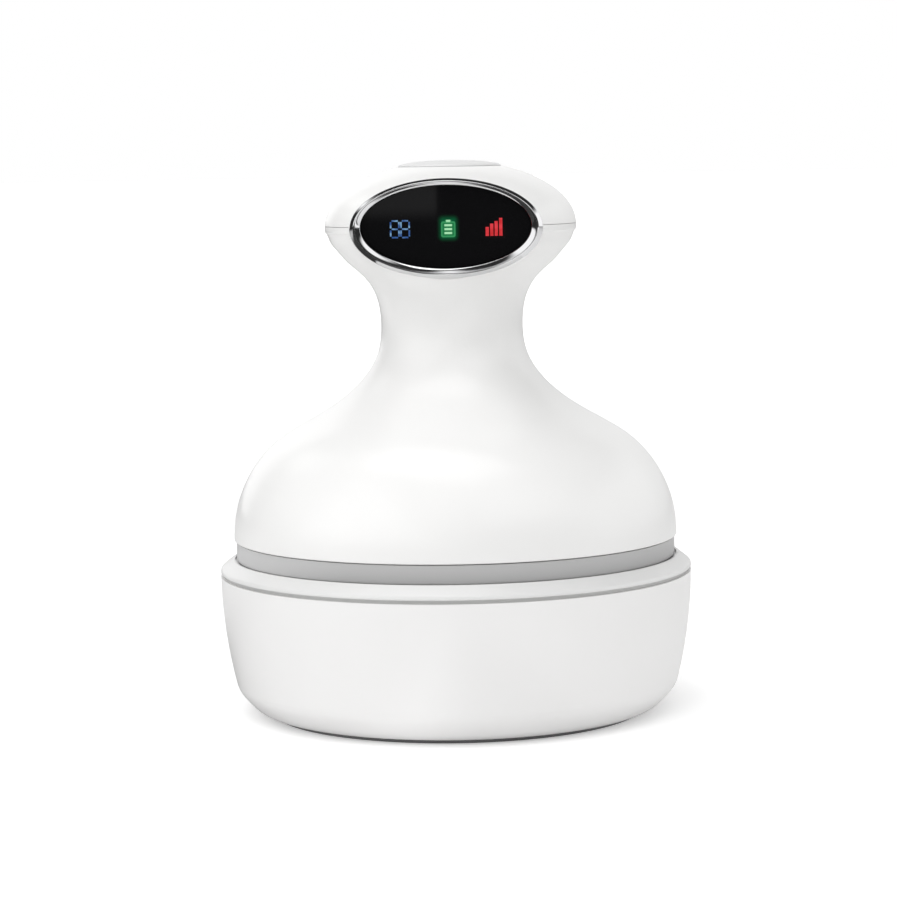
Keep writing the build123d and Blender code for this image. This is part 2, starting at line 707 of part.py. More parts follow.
motor_phase = meshed(LAY_WHEEL_TEETH, 0.0, 270.0, MOTOR_TEETH)
with BuildPart() as motor_pinion:
    gear(MOTOR_TEETH, MOTOR_MODULE, (0, 0), motor_phase, *MOTOR_PINION_Z)
    disc(1.0 + FIXED, 56.0, 61.0, mode=Mode.SUBTRACT)
write(motor_pinion.part, "motor_pinion")

with BuildPart() as motor_shaft:
    disc(1.0, MOTOR_PINION_Z[0], 70.0)
write(motor_shaft.part, "motor_shaft")

# Phases round the ring of four: each head meshes with both of its neighbours.
right_rear = 0.0
left_rear = meshed(HEAD_TEETH, right_rear, 180.0, HEAD_TEETH)
left_front = meshed(HEAD_TEETH, left_rear, 270.0, HEAD_TEETH)
right_front = meshed(HEAD_TEETH, right_rear, 270.0, HEAD_TEETH)
HEAD_PHASE = {
    "rear_right": right_rear,
    "rear_left": left_rear,
    "front_left": left_front,
    "front_right": right_front,
}
DRIVEN_PHASE = {
    "rear_right": meshed(SUN_TEETH, SUN_PHASE, 45.0, DRIVEN_TEETH),
    "front_left": meshed(SUN_TEETH, SUN_PHASE, 225.0, DRIVEN_TEETH),
}



def finger(tip_radius, root_radius, tip):
    """A tapered silicone finger that hangs from the claw's underside, at each location."""
    with Locations((0, 0, tip)):
        Cone(tip_radius, root_radius, CLAW_LOW_Z + 0.5 - tip, align=BASE_ALIGN)


for name, centre in HEADS.items():
    with BuildPart() as head_shaft:
        with Locations(centre):
            disc(SHAFT_RADIUS, *SHAFT_Z)
    write(head_shaft.part, f"head_shaft_{name}")

    with BuildPart() as head_gear:
        gear(HEAD_TEETH, HEAD_MODULE, centre, HEAD_PHASE[name], *HEAD_GEAR_Z)
        if name in DRIVEN_HEADS:
            gear(DRIVEN_TEETH, SUN_MODULE, centre, DRIVEN_PHASE[name], *DRIVEN_Z)
        with Locations(centre):
            disc(5.0, HEAD_GEAR_Z[1], COVER_LOW_Z - 0.5)
            disc(SHAFT_RADIUS + FIXED, HEAD_GEAR_Z[0], COVER_LOW_Z, mode=Mode.SUBTRACT)
    write(head_gear.part, f"head_gear_{name}")

    with BuildPart() as head_carrier:
        with Locations(centre):
            disc(CARRIER_RADIUS, 29.1, 32.6)
            disc(5.4, 32.6, 34.6)
            disc(SHAFT_RADIUS + FIXED, SHAFT_Z[0], 35.0, mode=Mode.SUBTRACT)
    write(head_carrier.part, f"head_carrier_{name}")

    with BuildPart() as head_claw:
        with Locations(centre):
            disc(CLAW_RADIUS, CLAW_LOW_Z, CLAW_TOP_Z)
            with PolarLocations(FINGER_CIRCLE, 6, start_angle=15):
                finger(2.0, 3.0, FINGER_TIP_Z)
            with PolarLocations(INNER_CIRCLE, 5):
                finger(1.6, 2.2, INNER_TIP_Z)
            disc(CARRIER_RADIUS + 0.05, 29.05, 33.0, mode=Mode.SUBTRACT)
    write(head_claw.part, f"head_claw_{name}")

# ---------------------------------------------------------------- battery, boards and wiring
with BuildPart() as battery:
    disc(BATTERY_RADIUS, *BATTERY_Z)
    fillet(battery.edges(), 0.5)
    disc(3.2, BATTERY_Z[1], BATTERY_Z[1] + 0.5)
write(battery.part, "battery")

with BuildPart() as battery_sleeve:
    disc(BATTERY_RADIUS + 1.2, *SLEEVE_Z)
    disc(BATTERY_RADIUS + 0.1, SLEEVE_Z[0] + 1.2, SLEEVE_Z[1], mode=Mode.SUBTRACT)
    with BuildSketch(Plane.XY.offset(92.5)):
        with PolarLocations(12.5, 3, start_angle=90):
            Rectangle(5.2, 1.6)
    extrude(amount=10)
    with BuildSketch(Plane.YZ.offset(8.0)):
        with Locations((0, 95.0)):
            Rectangle(7.0, 3.4)
    extrude(amount=4, mode=Mode.SUBTRACT)
    disc(4.0, SLEEVE_Z[0], SLEEVE_Z[0] + 2, mode=Mode.SUBTRACT)
write(battery_sleeve.part, "battery_sleeve")

BOARD_TOP = BOARD_Z + BOARD_THICK
with BuildPart() as main_board:
    ring(13.2, 30.0, BOARD_Z, BOARD_TOP)
    with Locations(*PILLARS):
        disc(1.15, BOARD_Z, BOARD_TOP, mode=Mode.SUBTRACT)
write(main_board.part, "main_board")

with BuildPart() as board_parts:
    for x, y, wide, deep, tall in (
        (15.5, 15.5, 7.0, 7.0, 1.2),
        (-15.5, 14.0, 5.0, 4.0, 1.6),
        (-15.5, -15.5, 6.0, 6.0, 3.0),
        (0, -18.0, 9.0, 3.0, 2.0),
        (6.5, 18.5, 6.0, 4.5, 5.0),
        (-6.5, 19.5, 5.0, 3.0, 1.4),
        (21.5, -8.5, 2.0, 1.2, 0.8),
        (21.5, -11.0, 2.0, 1.2, 0.8),
        (-22.5, 8.0, 2.0, 1.2, 0.8),
    ):
        with BuildSketch(Plane.XY.offset(BOARD_TOP)):
            with Locations((x, y)):
                Rectangle(wide, deep)
        extrude(amount=tall)
    with Locations((14.0, -16.5), (8.5, -19.5)):
        disc(2.4, BOARD_TOP, BOARD_TOP + 5.5)
write(board_parts.part, "board_parts")

with BuildPart() as board_screws:
    for centre in PILLARS:
        screw(centre, BOARD_TOP + 1.3, 1.9, -1.3, 0.95, -4.2)
write(board_screws.part, "board_screws")

with BuildPart() as port_board:
    with BuildSketch(Plane.XY.offset(PORT_BOARD_Z[0])):
        with Locations((0, 46.8)):
            Rectangle(12.6, 7.6)
    extrude(amount=PORT_BOARD_Z[1] - PORT_BOARD_Z[0])
write(port_board.part, "port_board")

with BuildPart() as charge_port:
    with BuildSketch(Plane(origin=(0, 46.0, PORT_Z), x_dir=(-1, 0, 0), z_dir=(0, 1, 0))):
        SlotOverall(9.0, 3.2)
    extrude(amount=7.6)
    with BuildSketch(Plane(origin=(0, 53.6, PORT_Z), x_dir=(-1, 0, 0), z_dir=(0, 1, 0))):
        SlotOverall(8.3, 2.5)
        RectangleRounded(6.7, 0.7, 0.2, mode=Mode.SUBTRACT)
    extrude(amount=-6.4, mode=Mode.SUBTRACT)
write(charge_port.part, "charge_port")

with BuildPart() as power_leads:
    for y in (-2.0, 2.0):
        wire([(9.6, y, 94.8), (14.3, y, 94.8), (14.3, y, BOARD_TOP)], 0.5, 1.6)
        wire([(-6.6, y, 89.3), (-14.5, y, 89.3), (-14.5, y, BOARD_TOP)], 0.5, 1.6)
write(power_leads.part, "power_leads")

with BuildPart() as display_ribbon:
    with BuildSketch(Plane.YZ.offset(-3.0)):
        with BuildLine() as path:
            Polyline(
                (-18.0, BOARD_TOP + 2.0),
                (-18.0, 73.5),
                (-15.4, 78.0),
                (-15.4, 87.5),
                (-12.4, 93.0),
                (-12.4, 105.5),
                (-16.3, 111.5),
                (-16.3, 115.3),
            )
            offset(path.line, amount=0.15, side=Side.LEFT)
        make_face()
    extrude(amount=6.0)
write(display_ribbon.part, "display_ribbon")
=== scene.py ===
# %% [markdown]
# # A scalp massager on its storage base
# The solids of this massager were made in a CAD program, and they already have their true sizes
# and places. This lesson dresses them: it gives each piece the finish of its real material,
# adds the small shapes that are easier to make here, and lights and frames the whole.
# The first step loads the solids. Each stays where it is, because gears and shafts depend on it.

# %% Load the solids
import math

import bpy
from mathutils import Matrix, Vector


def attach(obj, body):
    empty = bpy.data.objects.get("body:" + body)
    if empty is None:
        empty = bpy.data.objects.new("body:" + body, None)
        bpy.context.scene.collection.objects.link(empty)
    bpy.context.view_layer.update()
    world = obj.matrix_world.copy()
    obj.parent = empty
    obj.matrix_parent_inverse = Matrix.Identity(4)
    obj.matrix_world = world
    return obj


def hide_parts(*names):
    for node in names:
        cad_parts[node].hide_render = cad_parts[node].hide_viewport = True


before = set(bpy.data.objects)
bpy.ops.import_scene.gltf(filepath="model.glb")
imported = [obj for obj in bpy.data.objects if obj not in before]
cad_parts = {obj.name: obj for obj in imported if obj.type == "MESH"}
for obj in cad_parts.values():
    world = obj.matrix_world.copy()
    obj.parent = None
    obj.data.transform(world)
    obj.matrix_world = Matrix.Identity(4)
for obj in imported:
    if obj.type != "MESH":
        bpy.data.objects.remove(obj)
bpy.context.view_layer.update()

# %% [markdown]
# ## The camera
# The massager is seen from just above its own top, a little from its right-hand side, through a
# long lens, so that its sides stay nearly parallel. The camera is turned about its own line of
# sight by less than a degree. Its matrix is built from three directions, because that states
# exactly where the picture's right and up point.

# %% Camera
LENS_DISTANCE, LENS_HEIGHT, SIDE_STEP = 0.73405, 0.13864, -0.00139
LENS_PITCH, LENS_ROLL, ORBIT = 0.0994, 0.0165, math.radians(3.0)
SENSOR_MM, FOCAL_PIXELS, PICTURE_HIGH = 36.0, 2940.1, 899

turn = Matrix.Rotation(ORBIT, 3, "Z")
right = turn @ Vector((1, 0, 0))
upward = turn @ Vector((0, math.sin(LENS_PITCH), math.cos(LENS_PITCH)))
forward = turn @ Vector((0, math.cos(LENS_PITCH), -math.sin(LENS_PITCH)))
picture_right = math.cos(LENS_ROLL) * right - math.sin(LENS_ROLL) * upward
picture_up = math.sin(LENS_ROLL) * right + math.cos(LENS_ROLL) * upward

camera_data = bpy.data.cameras.new("camera")
camera_data.sensor_width = SENSOR_MM
camera_data.lens = FOCAL_PIXELS * SENSOR_MM / PICTURE_HIGH
camera_data.clip_start, camera_data.clip_end = 0.05, 20.0
camera = bpy.data.objects.new("camera", camera_data)
axes = Matrix((picture_right, picture_up, -forward)).transposed().to_4x4()
axes.translation = turn @ Vector((SIDE_STEP, -LENS_DISTANCE, LENS_HEIGHT))
camera.matrix_world = axes
bpy.context.scene.collection.objects.link(camera)
bpy.context.scene.camera = camera
print("lens", round(camera_data.lens, 1), "mm at", tuple(round(v, 3) for v in axes.translation))

# %% [markdown]
# ## Shader maths as plain expressions
# A finish is a small network of nodes. Written out one link at a time it is hard to read, so small
# classes help. `Flow` wraps one output socket and understands + - * / and powers, which add Math
# nodes. Its `ramp`, `near` and `band` make the masks that tell one part of a surface from another.

# %% The Flow class
class Flow:
    """A number that varies over a surface: one output socket, with operators."""

    def __init__(self, network, socket):
        self.network, self.socket = network, socket

    def math(self, operation, *values):
        sockets = {index: value for index, value in enumerate(values or (self,))}
        return self.network.node("ShaderNodeMath", {"operation": operation}, sockets)

    def __add__(self, other):
        return self.math("ADD", self, other)

    def __sub__(self, other):
        return self.math("SUBTRACT", self, other)

    def __rsub__(self, other):
        return self.math("SUBTRACT", other, self)

    def __mul__(self, other):
        return self.math("MULTIPLY", self, other)

    def __truediv__(self, other):
        return self.math("DIVIDE", self, other)

    def __rtruediv__(self, other):
        return self.math("DIVIDE", other, self)

    def __pow__(self, other):
        return self.math("POWER", self, other)

    __radd__, __rmul__ = __add__, __mul__

    def ramp(self, low, high):
        """0 below low, 1 above high, smooth between them."""
        smooth = {"interpolation_type": "SMOOTHSTEP"}
        sockets = {"Value": self, "From Min": low, "From Max": high}
        return self.network.node("ShaderNodeMapRange", smooth, sockets)

    def near(self, centre, width):
        """1 at the centre value, falling to 0 at a width to each side."""
        return 1 - self.away(centre).ramp(0.0, width)

    def away(self, centre):
        """How far the value lies from a centre value, to either side."""
        return self.math("ABSOLUTE", self - centre)

    def band(self, start, full, ebb, end):
        """Rises from 0 at the start to 1, and falls from the ebb to 0 at the end."""
        return self.ramp(start, full) * (1 - self.ramp(ebb, end))

    def most(self, other):
        return self.math("MAXIMUM", self, other)


print("Flow has", [name for name in vars(Flow) if not name.startswith("_")])

# %% [markdown]
# `Network` stands for a node tree, and its `node` method adds any kind of node, with its settings
# and sockets in one line. `Finish` is the network of one material. It starts from Principled BSDF
# and from Object coordinates, because those are metres here: a grain keeps its size on every piece.

# %% The Network and Finish classes
class Network:
    """A node tree with one method that adds any kind of node."""

    def __init__(self, tree):
        self.nodes, self.links = tree.nodes, tree.links

    def node(self, kind, settings=None, sockets=None, output=0):
        """Adds a node: its settings first, then the values or links of its sockets."""
        node = self.nodes.new(kind)
        for key, value in (settings or {}).items():
            setattr(node, key, value)
        for key, value in (sockets or {}).items():
            self.feed(node.inputs[key], value)
        return Flow(self, node.outputs[output])

    def feed(self, socket, value):
        if isinstance(value, Flow):
            self.links.new(value.socket, socket)
        else:
            socket.default_value = value

    def mix(self, mask, first, second):
        """A colour between two others, by a mask."""
        one = first if isinstance(first, Flow) else (*first, 1.0)
        two = second if isinstance(second, Flow) else (*second, 1.0)
        return self.node("ShaderNodeMix", {"data_type": "RGBA"}, {0: mask, 6: one, 7: two}, 2)


class Finish(Network):
    """One procedural material on Object coordinates, which are metres in the frame."""

    def __init__(self, name, colour, roughness, **constants):
        self.material = bpy.data.materials.new(name)
        self.material.use_nodes = True
        super().__init__(self.material.node_tree)
        self.shader = self.nodes["Principled BSDF"]
        self.place = self.node("ShaderNodeTexCoord", output="Object")
        self.put(Base_Color=(*colour, 1.0), Roughness=roughness, **constants)

    def put(self, **values):
        """Sets or links the shader's own sockets; an underscore stands for a space."""
        for key, value in values.items():
            self.feed(self.shader.inputs[key.replace("_", " ")], value)

    def axis(self, letter):
        return self.node("ShaderNodeSeparateXYZ", None, {"Vector": self.place}, letter)

    def radius(self):
        """Distance from the object's upright axis."""
        across, along = self.axis("X"), self.axis("Y")
        return (across * across + along * along) ** 0.5

    def grain(self, scale, detail=2.0, stretch=(1, 1, 1)):
        """Noise from 0 to 1; scale is in features per metre."""
        point = self.node("ShaderNodeMapping", None, {"Vector": self.place, "Scale": stretch})
        sockets = {"Vector": point, "Scale": scale, "Detail": detail}
        return self.node("ShaderNodeTexNoise", None, sockets, "Fac")

    def relief(self, height, distance, strength):
        """Bumps the surface by a height flow; distance is the depth in metres."""
        sockets = {"Height": height, "Distance": distance, "Strength": strength}
        self.put(Normal=self.node("ShaderNodeBump", None, sockets, "Normal"))

    def on(self, *names):
        """Gives this finish to solids or pieces, by name."""
        for name in names:
            slots = bpy.data.objects[name].data.materials
            slots.clear()
            slots.append(self.material)


print("Finish has", [name for name in vars(Finish) if not name.startswith("_")])

# %% [markdown]
# ## The white shells
# The shells are injection-moulded ABS with a soft gloss. A real moulding is never optically flat:
# the polish of the mould leaves a very fine ripple, and gloss changes a little from place to
# place. Both are noise here, kept far below what would read as texture. The base's rim is the
# same white plastic, but its white is painted deeper, as painted shade on its upward-facing ledge,
# and painted deeper still in the groove under its nose, as painted shade, so that the line round
# the base reads.

# %% Shell whites
def moulded_white(name, colour, roughness):
    """A soft-gloss white; its plain colour stays at hand as a flow."""
    white = Finish(name, colour, roughness, IOR=1.5, Coat_Weight=0.25, Coat_Roughness=0.12)
    patch = white.grain(22.0, 3.0)
    ripple = white.grain(900.0, 1.0)
    shade = tuple(channel * 0.985 for channel in colour)
    white.plain = white.mix(patch.ramp(0.35, 0.65), colour, shade)
    white.put(Base_Color=white.plain)
    white.put(Roughness=roughness + (patch - 0.5) * 0.06 + (ripple - 0.5) * 0.03)
    white.relief(ripple, 0.00001, 0.4)
    return white


body_white = moulded_white("shell_white", (0.87, 0.868, 0.86), 0.34)
base_white = moulded_white("base_white", (0.87, 0.865, 0.86), 0.40)
# The rim's white is a darker copy of the shell white: painted shade on its ledge.
rim_shaded_white = moulded_white("rim_shaded_white", (0.745, 0.745, 0.74), 0.42)
body_white.on("housing", "grip_cap")
base_white.on("base_bowl")
rim_shaded_white.on("base_rim")

# Below the nose the rim is painted darker still: painted shade in the groove.
GROOVE_TOP, NOSE_LOW, GROOVE_PAINTED_SHADE = 0.0357, 0.0361, (0.52, 0.52, 0.515)
above_groove = rim_shaded_white.axis("Z").ramp(GROOVE_TOP, NOSE_LOW)
rim_shaded_white.put(Base_Color=rim_shaded_white.mix(above_groove, GROOVE_PAINTED_SHADE, rim_shaded_white.plain))

# %% [markdown]
# ## The grey trim and the button
# The trim ring and the button are moulded in greys, with a spark-eroded texture that is finer than
# the eye resolves. It is a fine noise in the gloss and the bump. The ring's grey is painted darker
# towards its lower edge, as painted shade where it tucks in behind the rim, and painted paler round
# its left end, as painted light from the left.

# %% Trim grey and button grey
def spark_eroded(name, colour, roughness, scale, piece):
    grey = Finish(name, colour, roughness)
    texture = grey.grain(scale, 1.0)
    grey.put(Roughness=roughness + texture * 0.1)
    grey.relief(texture, 0.00001, 0.6)
    grey.on(piece)
    return grey


trim = spark_eroded("trim_grey", (0.46, 0.46, 0.46), 0.38, 2600.0, "trim_ring")
# Painted shade: the ring's grey darkens from its upper edge towards its lower edge.
TRIM_LOW, TRIM_HIGH, SHADED_LOWER_GREY, UPPER_GREY = 0.0392, 0.0440, (0.40,) * 3, (0.50,) * 3
# Painted light: the ring's grey pales towards its left end.
LEFT_END, LEFT_FADE, LIT_LEFT_GREY = -0.058, -0.020, (0.62,) * 3
painted_shade_by_height = trim.mix(trim.axis("Z").ramp(TRIM_LOW, TRIM_HIGH), SHADED_LOWER_GREY, UPPER_GREY)
painted_light_from_left = trim.axis("X").ramp(LEFT_END, LEFT_FADE)
trim.put(Base_Color=trim.mix(painted_light_from_left, LIT_LEFT_GREY, painted_shade_by_height))

spark_eroded("button_grey", (0.72, 0.72, 0.72), 0.36, 2200.0, "power_button")
print("trim and button are grey")

# %% [markdown]
# ## The polished bezel
# The bezel is a die-cast ring, plated and polished, that frames the window. Its face is a rounded
# ridge: the outer slope and the inner slope mirror different parts of the room, and that is what
# makes such a ring read as metal. The CAD solid has plain slopes, so the ring's face is made here
# as a smooth strip: one small cross-section, repeated around an oval.

# %% A ring swept around an oval
def smooth_piece(name, verts, faces):
    """A smooth-shaded object at the origin, made from points and faces."""
    mesh = bpy.data.meshes.new(name)
    mesh.from_pydata(verts, [], faces)
    mesh.validate()
    mesh.polygons.foreach_set("use_smooth", [True] * len(mesh.polygons))
    piece = bpy.data.objects.new(name, mesh)
    bpy.context.scene.collection.objects.link(piece)
    return piece


# Half-width, half-height and centre height of two ovals: the ring's outside and its window.
RING_OUTSIDE, RING_WINDOW = (0.0234, 0.0121, 0.12135), (0.0199, 0.0094, 0.1218)
RING_STEPS = 224


def ring_oval(share):
    """The oval at a share of the way from the ring's outside, 0, to its window, 1."""
    return [out + (inner - out) * share for out, inner in zip(RING_OUTSIDE, RING_WINDOW)]


def oval_sweep(name, section):
    """Turns a loop of (share, depth) points into a closed ring."""
    verts, faces, count = [], [], len(section)
    for step in range(RING_STEPS):
        angle = 2 * math.pi * step / RING_STEPS
        for share, depth in section:
            wide, high, centre = ring_oval(share)
            verts.append((wide * math.cos(angle), -depth, centre + high * math.sin(angle)))
    for step in range(RING_STEPS):
        here, there = step * count, (step + 1) % RING_STEPS * count
        for index in range(count):
            after = (index + 1) % count
            faces.append((here + index, here + after, there + after, there + index))
    return smooth_piece(name, verts, faces)


print("ring of", RING_STEPS, "steps between", RING_OUTSIDE, "and", RING_WINDOW)

# %% [markdown]
# The section is easiest to state by its slope, because the slope decides what the metal mirrors.
# The list gives the face's tilt in degrees along the section, outward positive: a steep outer
# slope, a rounded crest about a third of the way in, and an inner slope. Adding the slopes up, from
# the outside, gives the depths. A groove and a fine lip follow, next to the glass.

# %% The bezel's section
TILT_AT = [(0.0, 58), (0.24, 54), (0.34, 0), (0.50, -22), (0.76, -40)]
MEAN_WIDTH, TILT_STEPS = 0.0031, 5
CREST_DEPTH, SEAT_DEPTH, GROOVE_DEPTH = 0.02328, 0.0216, 0.02168
GROOVE, GROOVE_FLOOR, LIP = 0.76, 0.78, 0.885
face = [(0.0, 0.0)]
for (low, tilt_low), (high, tilt_high) in zip(TILT_AT, TILT_AT[1:]):
    for step in range(1, TILT_STEPS + 1):
        share = low + (high - low) * step / TILT_STEPS
        tilt = tilt_low + (tilt_high - tilt_low) * (step - 0.5) / TILT_STEPS
        rise = math.tan(math.radians(tilt)) * (high - low) / TILT_STEPS * MEAN_WIDTH
        face.append((share, face[-1][1] + rise))
outer_edge = CREST_DEPTH - max(depth for share, depth in face)
ridge = [(0.0, SEAT_DEPTH)] + [(share, outer_edge + depth) for share, depth in face]
ridge += [(GROOVE_FLOOR, GROOVE_DEPTH), (LIP, GROOVE_DEPTH)]
ridge += [(0.95, 0.02188), (1.0, 0.02182), (1.0, SEAT_DEPTH)]
bezel = oval_sweep("bezel_ring", ridge)
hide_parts("display_bezel")
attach(bezel, "massager")
print("bezel ring", len(bezel.data.polygons), "faces")

# %% [markdown]
# ## Chrome
# The plating is bright metal with almost no texture, only a slight change of gloss where fingers
# have wiped it. The groove next to the glass holds no light, so it is black. Above and at the sides
# the lip next to it lies in the groove's shade and is black as well. Below, it catches the light.

# %% Chrome
CHROME, DARK = (0.74, 0.74, 0.75), (0.01, 0.01, 0.01)
LIP_LIT_BELOW, LIP_DARK_ABOVE = 0.1125, 0.1155
chrome = Finish("bezel_chrome", CHROME, 0.08, Metallic=1.0)
chrome.put(Roughness=0.05 + chrome.grain(60.0, 3.0) * 0.06)


def inside_share(finish, share):
    """1 within the oval that lies at a share of the way from the ring's outside to its window."""
    wide, high, centre = ring_oval(share)
    across = finish.axis("X") / wide
    along = (finish.axis("Z") - centre) / high
    return 1 - (across * across + along * along).ramp(0.995, 1.005)


lit_lip = inside_share(chrome, LIP) * (1 - chrome.axis("Z").ramp(LIP_LIT_BELOW, LIP_DARK_ABOVE))
groove = inside_share(chrome, GROOVE) * (1 - lit_lip)
chrome.put(Base_Color=chrome.mix(groove, CHROME, DARK))
chrome.on("bezel_ring")
print("chrome on", chrome.material.name)

# %% [markdown]
# ## The window and its lit marks
# The window is smoked acrylic, nearly black, and polished. The marks behind it are lit from
# inside. Each is a thin plate here, so its glow is simply emission on its own material. Some of
# that light spreads inside the acrylic, so the window itself glows faintly round the battery and
# the bars.

# %% Window
BATTERY_X = 0.00058
BATTERY_GREEN, HALO_GREEN, HALO_RED = (0.014, 0.18, 0.060), (0.0, 0.085, 0.028), (0.012, 0.0, 0.0)
window = Finish("lens_black", (0.004, 0.004, 0.0045), 0.02, IOR=1.45)
window.put(Roughness=0.012 + window.grain(40.0, 2.0) * 0.012)


def patch_of_light(finish, centre, half_size, spread):
    """1 inside an upright rectangle on the glass, fading to 0 over the spread."""
    across = (finish.axis("X").away(centre[0]) - half_size[0]).most(0.0)
    along = (finish.axis("Z").away(centre[1]) - half_size[1]).most(0.0)
    return 1 - ((across ** 2 + along ** 2) ** 0.5).ramp(0.0, spread)


behind_cell = patch_of_light(window, (BATTERY_X, 0.12112), (0.0014, 0.0017), 0.0004)
around_cell = patch_of_light(window, (BATTERY_X, 0.12135), (0.0012, 0.0018), 0.0019)
around_bars = patch_of_light(window, (0.01185, 0.1205), (0.0014, 0.0004), 0.0022)
glow = window.mix(around_cell ** 1.5, (0.0, 0.0, 0.0), HALO_GREEN)
glow = window.mix(behind_cell, glow, BATTERY_GREEN)
glow = window.mix(around_bars ** 2.0, glow, HALO_RED)
window.put(Emission_Color=glow, Emission_Strength=1.0)
window.on("display_lens")
print("window is black")

# %% [markdown]
# No lamp lights its mark evenly, so each mark's glow varies: the digits and the bars by a noise,
# and the battery by its own drawing, whose bars and tab are paler than its case.

# %% Lit marks
def lit(name, colour, glow_of, piece):
    """A mark whose light is a flow of colours."""
    mark = Finish(name, colour, 0.4)
    mark.put(Emission_Color=glow_of(mark), Emission_Strength=1.0)
    mark.on(piece)


def digit_glow(mark):
    uneven = mark.grain(900.0, 1.0).ramp(0.36, 0.66)
    return mark.mix(uneven, (0.010, 0.050, 0.16), (0.17, 0.32, 0.44))


def charge_glow(mark):
    sideways, height = mark.axis("X").away(BATTERY_X), mark.axis("Z")
    bars = (1 - sideways.ramp(0.00085, 0.00100)) * (1 - height.away(0.12107).ramp(0.0014, 0.0015))
    tab = (1 - sideways.ramp(0.0004, 0.0006)) * height.ramp(0.1227, 0.1230)
    return mark.mix(bars + tab, (0.012, 0.17, 0.058), (0.36, 0.66, 0.40))


def level_glow(mark):
    uneven = mark.grain(700.0, 1.0).ramp(0.3, 0.7)
    return mark.mix(uneven, (0.46, 0.008, 0.012), (0.62, 0.03, 0.045))


lit("digit_blue", (0.01, 0.03, 0.12), digit_glow, "display_digits")
lit("charge_green", (0.01, 0.10, 0.03), charge_glow, "display_charge_icon")
lit("level_red", (0.10, 0.003, 0.003), level_glow, "display_level_bars")
print("three marks are lit")

# %% [markdown]
# ## Silicone claws
# Four heads of soft silicone fingers hang under the massager and knead the scalp. In the CAD file
# a finger is a plain cone. A moulded one is softer: it flares out of its disc in a fillet, narrows,
# and ends in a round tip. The disc and the fingers are both round about an axis, so one helper
# turns a profile of radii and heights into a closed mesh.

# %% Profiles turned about an axis
def turned_piece(name, profile, segments):
    """Revolves (radius, height) points about Z. A radius of zero makes a pole."""
    verts, faces, rings = [], [], []
    for radius, height in profile:
        if radius == 0.0:
            rings.append([len(verts)] * segments)
            verts.append((0.0, 0.0, height))
            continue
        rings.append([len(verts) + step for step in range(segments)])
        for step in range(segments):
            angle = 2 * math.pi * step / segments
            verts.append((radius * math.cos(angle), radius * math.sin(angle), height))
    for low, high in zip(rings, rings[1:]):
        for step in range(segments):
            after = (step + 1) % segments
            corners = [low[step], low[after], high[after], high[step]]
            faces.append([c for i, c in enumerate(corners) if c != corners[i - 1]])
    return smooth_piece(name, verts, faces)


print("turned_piece makes a closed mesh from a profile")

# %% [markdown]
# A finger is measured from its tip upwards. Its fillet ends a fifth of a millimetre inside the
# disc, so that no gap can show between them. The outer fingers are longer and thicker than the
# inner ones, because the scalp curves away from the middle of the claw.

# %% Fingers
CLAW_LOW, CLAW_TOP, CLAW_RADIUS = 0.0258, 0.0316, 0.0174
ROOT_HIGH, ROOT_FILLET, WAIST = CLAW_LOW + 0.0002, 0.0011, 0.10


def quarter_turn(steps, first=1):
    """Sine and cosine over a quarter circle, for round tips and fillets."""
    angles = [math.radians(90 * step / steps) for step in range(first, steps + 1)]
    return [(math.sin(angle), math.cos(angle)) for angle in angles]


def finger_profile(tip, root, tip_low):
    """A round tip, a tapered shank and a fillet into the disc, from the tip upwards."""
    points = [(0.0, tip_low)]
    points += [(tip * sine, tip_low + tip * (1 - cosine)) for sine, cosine in quarter_turn(6)]
    shank_low, shank_high = tip_low + tip, ROOT_HIGH - ROOT_FILLET
    for step in range(1, 8):
        share = step / 8
        radius = (tip + (root - tip) * share) * (1 - WAIST * math.sin(math.pi * share))
        points.append((radius, shank_low + (shank_high - shank_low) * share))
    for sine, cosine in quarter_turn(5, first=0):
        points.append((root + ROOT_FILLET * (1 - cosine), shank_high + ROOT_FILLET * sine))
    return points


outer_finger = turned_piece("finger_outer", finger_profile(0.0019, 0.0024, 0.0105), 28)
inner_finger = turned_piece("finger_inner", finger_profile(0.0015, 0.0018, 0.0165), 24)
print("fingers", len(outer_finger.data.vertices), len(inner_finger.data.vertices), "points")

# %% [markdown]
# Geometry Nodes set the fingers around two circles, because then the number of fingers, the size
# of each circle and the angle of its first finger stay editable. Those are the tree's named inputs.
# The finger itself, the claw's centre and the silicone are inputs as well.

# %% The inputs of the finger circles
def socket_in(group, name, kind, value):
    """Adds a named input to a tree, with its value where the kind of socket has one."""
    socket = group.interface.new_socket(name, in_out="INPUT", socket_type=kind)
    if value is not None:
        socket.default_value = value


# Number of fingers, radius of the circle, and the first finger's angle in degrees.
CIRCLES = {"Outer": (6, 0.014, 15.0), "Inner": (5, 0.0066, 0.0)}
fingers = bpy.data.node_groups.new("finger_circles", "GeometryNodeTree")
socket_in(fingers, "Geometry", "NodeSocketGeometry", None)
for circle, (count, radius, angle) in CIRCLES.items():
    socket_in(fingers, f"{circle} Finger", "NodeSocketObject", None)
    socket_in(fingers, f"{circle} Count", "NodeSocketInt", count)
    socket_in(fingers, f"{circle} Radius", "NodeSocketFloat", radius)
    socket_in(fingers, f"{circle} Start", "NodeSocketFloat", math.radians(angle))
socket_in(fingers, "Centre", "NodeSocketVector", None)
socket_in(fingers, "Silicone", "NodeSocketMaterial", None)
fingers.interface.new_socket("Geometry", in_out="OUTPUT", socket_type="NodeSocketGeometry")
print("finger circles have", len(fingers.interface.items_tree), "sockets")

# %% [markdown]
# Each circle is a Mesh Circle, turned by its first angle, with one finger on each of its points.
# The circles join the disc and move to the claw's centre together. Realize Instances makes one real
# mesh of it, and Set Material dyes it as one piece.

